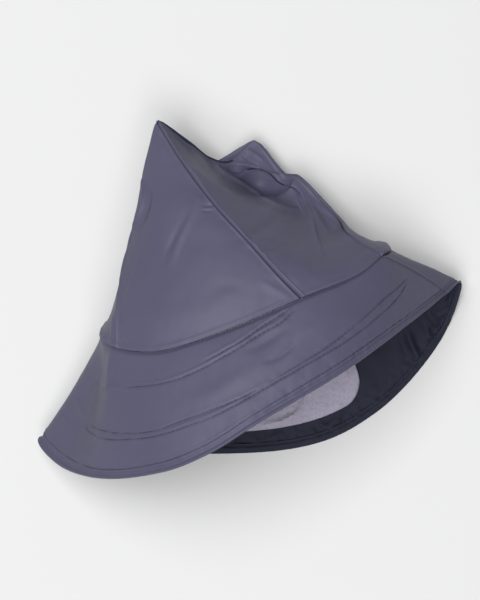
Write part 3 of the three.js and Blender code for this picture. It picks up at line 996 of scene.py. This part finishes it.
def side_directions(name, rise, last):
    """A panel's outward directions along its first or last side."""
    share = np.array([0.99, 1.0]) if last else np.array([0.0, 0.01])
    return normals_of(crown_grid(name, share, rise))[-1 if last else 0]


def seam_directions(name, rise, normal, around):
    """A panel's outward directions, which at each side seam are halfway to its neighbour's."""
    order = list(PANELS)
    place = order.index(name)
    first = normal[0] + side_directions(order[place - 1], rise, True)
    last = normal[-1] + side_directions(order[(place + 1) % len(order)], rise, False)
    for shared, away in ((first, around), (last, around[-1:] - around)):
        near = 1 - eased(away / SEAM_TURN)[..., None]
        normal = normal * (1 - near) + unit(shared)[None] * near
    return unit(normal)


def crown_surface(name, fold_strength):
    """A crown panel's outer and inner face, with its columns closer at the sides."""
    share = np.linspace(0, 1, PANELS[name][4] + 1)
    share = share - CROWN_CROWDING * np.sin(2 * math.pi * share)
    rise = np.linspace(1, 0, CROWN_ROWS + 1)
    points = crown_grid(name, share, rise)
    around = lengths_along(points, 0)
    normal = seam_directions(name, rise, normals_of(points), around)
    side = np.minimum(around, around[-1:] - around)
    down = lengths_along(points, 1)
    foot = down[:, -1:] - down
    free = grown(side, SIDE_FADE) * grown(foot, FOOT_FADE)
    if name != "front":
        free = free * grown(down, RIDGE_FADE)
    relief = fold_rise(points, normal[..., 2], FOLDS, fold_strength) + waves(points, CROWN_WAVES)
    relief += puckers(points, side, *SIDE_PUCKERS) + puckers(points, foot, *FOOT_PUCKERS)
    relief = relief * eased(free) + bulk_rise(points)
    relief += ridges(side, CROWN_SIDE) + ridges(foot, CROWN_FOOT)
    outer = blunted(points + normal * relief[..., None])
    outer[..., 2] = np.maximum(outer[..., 2], 0)
    wall = CLOTH * grown(side, *SIDE_THINNING)
    for tip in tips():
        wall = wall * grown(np.linalg.norm(points - tip, axis=-1), *TIP_THINNING)
    inner = outer - normal * wall[..., None]
    inner[..., 2] = np.maximum(inner[..., 2], 0.4 * CLOTH)
    return outer, inner


@functools.lru_cache
def stitched_places():
    """The stitched rows on the brim, by name."""
    return {name: brim_places(path) for name, path in ROW_PATHS.items()}


def row_relief(points, turn, share, length):
    """Needle grooves of the stitched rows, with the cloth rising between a pair."""
    relief = np.zeros(points.shape[:-1])
    for name, row in stitched_places().items():
        first, last = row[0, 0], row[-1, 0]
        at = through(row[:, 0], row[:, 1], np.clip(turn, first, last))
        away = (share - at) * length
        line = ridges(away, STITCH_ROW[name.split("_")[1]]) + puckers(points, away, *ROW_PUCKERS)
        relief += grown(np.minimum(turn - first, last - turn), ROW_END) * line
    return relief


def brim_relief(points, normal, angle, share, fold_strength):
    """Height of the folds, rows, rolled rim and seams of the brim's outer face."""
    length = brim_length(angle)
    from_rim = (1 - share) * length
    relief = fold_rise(points, normal[..., 2], FOLDS, fold_strength) + waves(points, BRIM_WAVES)
    turn = np.mod(angle, 360.0)
    relief += ridges(share * length, BRIM_FOOT) + row_relief(points, turn, share, length)
    relief += ridges(from_rim, RIM_ROLL) + puckers(points, from_rim - HEM_WIDTH, *HEM_PUCKERS)
    step = np.linalg.norm(np.gradient(points, axis=0), axis=-1)
    radius = step / np.gradient(np.radians(angle), axis=0)
    for seam in (LEFT_SEAM, RIGHT_SEAM):
        away = np.radians(np.mod(turn - seam + 180.0, 360.0) - 180.0)
        relief += ridges(np.abs(away) * radius, BRIM_SEAM)
    return relief


def hem_shares(hem):
    """Shares across the hem, closer together where its edge rounds."""
    round_edge = HEM_BEND + (1 - HEM_BEND) * np.sin(np.linspace(0, math.pi / 2, 9))
    steps = np.concatenate([np.linspace(0, HEM_BEND, 13)[:-1], round_edge])
    return hem + (1 - hem) * steps[None]


def brim_surface(first, last, columns, fold_strength, rim):
    """Outer and inner face of a brim half up to its hem, or of the hem itself."""
    step = (last - first) / columns
    angle = np.linspace(first - step, last + step, columns + 3)[:, None]
    length = brim_length(angle)
    hem = 1 - HEM_WIDTH / length
    share = hem_shares(hem) if rim else hem * np.linspace(0, 1, BRIM_ROWS + 1)[None]
    angle = np.repeat(angle, share.shape[1], axis=1)
    points = brim_grid(angle, share)
    normal = normals_of(points)
    relief = brim_relief(points, normal, angle, share, fold_strength)
    if rim:
        edge = rounded((1 - share) * length, 0.5 * HEM_CLOTH)
        wall = HEM_CLOTH * grown(edge, 1.0, HEM_THINNING)
        relief = relief - (HEM_CLOTH - wall) * 0.5
        back = waves(points, HEM_WAVES)
    else:
        wall = np.full(share.shape, CLOTH)
        away = (hem - share) * length
        back = puckers(points, away, *BACK_PUCKERS) + waves(points, BACK_WAVES)
        back += ridges(away, HEM_BACK)
    outer = points + normal * relief[..., None]
    outer[..., 2] = np.maximum(outer[..., 2], 0)
    inner = outer - normal * wall[..., None]
    back = back + fold_rise(inner, -normal[..., 2], UNDER_FOLDS, fold_strength)
    back = np.maximum(back, -0.5 * wall) * grown(-normal[..., 2], DOWN_FACING)
    inner = inner - normal * back[..., None]
    inner[..., 2] = np.maximum(inner[..., 2], FLOOR_GAP)
    return outer[1:-1], inner[1:-1]


def trimmed(faces):
    """Draws a piece's sides back from its neighbours by just under half the seam gap."""
    for face in faces:
        for edge, beside in ((0, 1), (-1, -2)):
            step = face[beside] - face[edge]
            size = np.linalg.norm(step, axis=-1, keepdims=True)
            face[edge] += unit(step) * 0.4 * np.minimum(SEAM_GAP, size)
    return faces


def replace_solid(piece, node):
    """Puts a piece in its solid's place."""
    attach(piece, "root")
    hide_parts(node)


def build_cloth(name, node, faces):
    """One piece of coated cloth with its dull back."""
    outer, inner = trimmed(faces)
    piece = closed_sheet(name, outer, inner, material(coated_cloth), material(underside_cloth))
    replace_solid(piece, node)


def build_crown(fold_strength):
    """The four crown panels."""
    for name in PANELS:
        faces = crown_surface(name, fold_strength)
        build_cloth(name + "_panel_cloth", "crown_" + name + "_panel", faces)


def build_brim(fold_strength):
    """The brim's halves, then their hems."""
    for rim in (False, True):
        for half, (hem, *span) in BRIM_HALVES.items():
            node = hem if rim else half
            build_cloth(node + "_cloth", node, brim_surface(*span, fold_strength, rim))


def build_neck_fleece(fold_strength):
    """Fleece on the neck flap, with round corners."""
    across = np.linspace(0, 1, FLEECE_COLUMNS + 1)
    width, depth = FLEECE_CORNERS
    cut = depth * (1 - rounded(np.minimum(across, 1 - across), width))
    start, end = FLEECE_SHARES
    length = end - cut - start
    share = start + length[:, None] * np.linspace(0, 1, FLEECE_ROWS + 1)[None]
    angle = FLEECE_ANGLES[0] + across * FLEECE_ANGLES[1]
    base = brim_grid(angle[:, None], share)
    around = lengths_along(base, 0)
    down = lengths_along(base, 1)
    edge = np.minimum(np.minimum(around, around[-1:] - around), down[:, -1:] - down)
    body = np.sqrt(grown(edge, FLEECE))
    lower = base.copy()
    lower[..., 2] += CLOTH + FLEECE_CLEARANCE + 0.35 * np.maximum(base[..., 2], 0)
    wave = waves(base, FLEECE_WAVES)
    wave += fold_rise(base, np.ones(base.shape[:-1]), FLEECE_FOLDS, fold_strength)
    upper = lower.copy()
    upper[..., 2] += FLEECE * (0.45 + 0.55 * body)
    upper[..., 2] += (np.clip(wave + 0.6, 0, 5) + waves(base, FLEECE_NAP)) * body
    piece = closed_sheet("neck_fleece_pile", lower, upper, material(fleece))
    replace_solid(piece, "neck_fleece")


def build_lining(fold_strength):
    """Fleece inside the crown, closed above the head."""
    faces = []
    directions = []
    rise = np.linspace(LINING_TOP, 0.0, LINING_ROWS + 1)
    for name in PANELS:
        share = np.linspace(0, 1, LINING_COLUMNS[name] + 1)[:-1]
        points = crown_grid(name, share, rise)
        normal = normals_of(points)
        dent = np.minimum(fold_rise(points, normal[..., 2], FOLDS, fold_strength), 0.0)
        faces.append(points + normal * dent[..., None])
        directions.append(normal)
    points = np.concatenate(faces)
    normal = np.concatenate(directions)
    for _ in range(6):
        normal = unit(normal + np.roll(normal, 1, 0) + np.roll(normal, -1, 0))
    outer = points - normal * (CLOTH + LINING_CLEARANCE)
    nap = np.clip(waves(points, LINING_NAP), -0.8, 1.4)
    closed = []
    for face in (outer, outer - normal * (FLEECE + nap)[..., None]):
        first = face[:, :1]
        centre = first.mean(axis=0, keepdims=True)
        steps = np.linspace(0.0, 1.0, CAP_ROWS + 1)[:-1][None, :, None]
        cap = centre + (first - centre) * steps
        cap[..., 1] += CAP_RISE * (1 - steps[..., 0] ** 2)
        closed.append(np.concatenate([cap, face], axis=1))
    piece = closed_sheet("crown_lining_pile", *closed, material(fleece), cup=True)
    replace_solid(piece, "crown_lining")


def on_brim(angle, share, sink, fold_strength):
    """Places a little below the brim's outer face, and its outward directions."""
    around = np.stack([brim_grid(angle + turn, share) for turn in (-0.4, 0.4)])
    across = np.stack([brim_grid(angle, share + step) for step in (-0.01, 0.01)])
    normal = -unit(np.cross(across[1] - across[0], around[1] - around[0]))
    points = brim_grid(angle, share)
    rise = fold_rise(points, normal[..., 2], FOLDS, fold_strength) - sink
    return points + normal * rise[..., None], normal


def build_stitches(settings):
    """The thread of the brim's rows and hem."""
    lines = []
    for row in stitched_places().values():
        angle = np.linspace(row[0, 0] + 0.5, row[-1, 0] - 0.5, ROW_POINTS)
        share = through(row[:, 0], row[:, 1], angle)
        lines.append(on_brim(angle, share, ROW_SINK, settings.fold_strength)[0])
    angle = np.linspace(LEFT_SEAM + 1, LEFT_SEAM + 359, HEM_POINTS)
    share = 1 - HEM_WIDTH / brim_length(angle)
    line, normal = on_brim(angle, share, HEM_SINK, settings.fold_strength)
    turn = np.mod(angle, 360)
    front = (turn > LEFT_SEAM) & (turn < RIGHT_SEAM)
    lines += [line[front], line[~front] - normal[~front] * (CLOTH - 0.1)]
    for row in lines:
        row[:, 2] = np.maximum(row[:, 2], 1000 * settings.thread_radius)
    piece = stitched_rows("brim_stitches", lines, settings)
    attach(piece, "root")


# ---------------------------------------------------------------- stage


def build_stage():
    """Floor, lights and sky of the photograph."""
    side = FLOOR_HALF_SIDE
    mesh = bpy.data.meshes.new("floor")
    corners = [(-side, -side, 0), (side, -side, 0), (side, side, 0), (-side, side, 0)]
    mesh.from_pydata(corners, [], [(0, 1, 2, 3)])
    mesh.materials.append(material(pale_floor))
    floor = placed("floor", mesh)
    cosine, sine = math.cos(VIEW_TURN), math.sin(VIEW_TURN)
    for name, (right, up, height, width, depth, power) in LIGHTS.items():
        data = bpy.data.lights.new(name, "AREA")
        data.shape = "RECTANGLE"
        data.size, data.size_y = width, depth
        data.energy = power
        light = placed(name, data)
        light.location = (right * cosine + up * sine, up * cosine - right * sine, height)
        aim = Vector((0, 0, LIGHT_AIM)) - light.location
        light.rotation_euler = aim.to_track_quat("-Z", "Y").to_euler()
    world = bpy.data.worlds.new("studio")
    world.use_nodes = True
    background = world.node_tree.nodes["Background"]
    background.inputs["Color"].default_value = (0.93, 0.95, 1.0, 1.0)
    background.inputs["Strength"].default_value = SKY
    bpy.context.scene.world = world
    bpy.context.scene.view_settings.view_transform = "Standard"


def build_camera():
    """Camera of the photograph."""
    data = bpy.data.cameras.new("photo_view")
    drop = (VIEW_HEIGHT - VIEW_LEVEL) * 0.001
    data.sensor_fit = "VERTICAL"
    data.sensor_height = SENSOR
    data.lens = SENSOR * drop / (VIEW_SCALE * FRAME_HEIGHT * 0.001)
    camera = placed("photo_view", data)
    camera.location = in_frame(np.array([VIEW_X, VIEW_Y, VIEW_HEIGHT]))
    camera.rotation_euler = (0.0, 0.0, -VIEW_TURN)
    bpy.context.scene.camera = camera


# ---------------------------------------------------------------- add-on


class HatSettings(bpy.types.PropertyGroup):
    """Sizes and colours that can be set by hand."""

    fold_strength: bpy.props.FloatProperty(
        name="Fold Strength", description="How deep the folds of the cloth are",
        default=1.0, subtype="FACTOR", min=0.0, max=3.0)
    stitch_step: bpy.props.FloatProperty(
        name="Stitch Step", description="Distance from one stitch to the next",
        default=0.0032, unit="LENGTH", subtype="DISTANCE", min=0.001)
    stitch_length: bpy.props.FloatProperty(
        name="Stitch Length", description="Length of the thread that shows in each stitch",
        default=0.0025, unit="LENGTH", subtype="DISTANCE", min=0.0005)
    thread_radius: bpy.props.FloatProperty(
        name="Thread Radius", description="Radius of the sewing thread",
        default=0.00024, unit="LENGTH", subtype="DISTANCE", min=0.0001)
    cloth_colour: bpy.props.FloatVectorProperty(
        name="Cloth Colour", description="Colour of the coated cloth's outer face",
        default=(0.078, 0.0755, 0.122), subtype="COLOR", size=3, min=0.0, max=1.0)
    underside_colour: bpy.props.FloatVectorProperty(
        name="Underside Colour", description="Colour of the cloth's inner face",
        default=(0.0145, 0.0165, 0.0325), subtype="COLOR", size=3, min=0.0, max=1.0)
    fleece_colour: bpy.props.FloatVectorProperty(
        name="Fleece Colour", description="Colour of the lining's fleece",
        default=(0.36, 0.335, 0.43), subtype="COLOR", size=3, min=0.0, max=1.0)
    thread_colour: bpy.props.FloatVectorProperty(
        name="Thread Colour", description="Colour of the sewing thread",
        default=(0.042, 0.044, 0.065), subtype="COLOR", size=3, min=0.0, max=1.0)
    nap_depth: bpy.props.FloatProperty(
        name="Nap Depth", description="How far the fleece's tufts stand out",
        default=0.0016, unit="LENGTH", subtype="DISTANCE", min=0.0, max=0.01)


class HAT_OT_crown(bpy.types.Operator):
    """Build the four cloth panels of the crown"""
    bl_idname = "hat.crown"
    bl_label = "Crown Panels"

    def execute(self, context):
        build_crown(context.scene.hat_settings.fold_strength)
        return {"FINISHED"}


class HAT_OT_brim(bpy.types.Operator):
    """Build the front brim, the neck flap and their hems"""
    bl_idname = "hat.brim"
    bl_label = "Brim and Neck Flap"

    def execute(self, context):
        build_brim(context.scene.hat_settings.fold_strength)
        return {"FINISHED"}


class HAT_OT_fleece(bpy.types.Operator):
    """Build the fleece lining and the fleece of the neck"""
    bl_idname = "hat.fleece"
    bl_label = "Fleece"

    def execute(self, context):
        build_neck_fleece(context.scene.hat_settings.fold_strength)
        build_lining(context.scene.hat_settings.fold_strength)
        return {"FINISHED"}


class HAT_OT_stitches(bpy.types.Operator):
    """Sew the stitched rows"""
    bl_idname = "hat.stitches"
    bl_label = "Stitches"

    def execute(self, context):
        build_stitches(context.scene.hat_settings)
        return {"FINISHED"}


class HAT_OT_stage(bpy.types.Operator):
    """Set the floor, the lights and the camera"""
    bl_idname = "hat.stage"
    bl_label = "Stage"

    def execute(self, context):
        build_stage()
        build_camera()
        return {"FINISHED"}


class HAT_PT_panel(bpy.types.Panel):
    """Buttons for the hat's pieces"""
    bl_idname = "HAT_PT_panel"
    bl_label = "Sou'wester Hat"
    bl_space_type = "VIEW_3D"
    bl_region_type = "UI"
    bl_category = "Sou'wester"

    def draw(self, context):
        layout = self.layout
        settings = context.scene.hat_settings
        for name in HatSettings.__annotations__:
            layout.prop(settings, name)
        for name in STEPS:
            layout.operator(name)


STEPS = ("hat.crown", "hat.brim", "hat.fleece", "hat.stitches", "hat.stage")
CLASSES = (HatSettings, HAT_OT_crown, HAT_OT_brim, HAT_OT_fleece, HAT_OT_stitches, HAT_OT_stage,
           HAT_PT_panel)


def register():
    for kind in CLASSES:
        bpy.utils.register_class(kind)
    bpy.types.Scene.hat_settings = bpy.props.PointerProperty(type=HatSettings)


def unregister():
    del bpy.types.Scene.hat_settings
    for kind in reversed(CLASSES):
        bpy.utils.unregister_class(kind)


def main():
    register()
    bpy.ops.hat.crown()
    bpy.ops.hat.brim()
    bpy.ops.hat.fleece()
    bpy.ops.hat.stitches()
    bpy.ops.hat.stage()


if __name__ == "__main__":
    main()
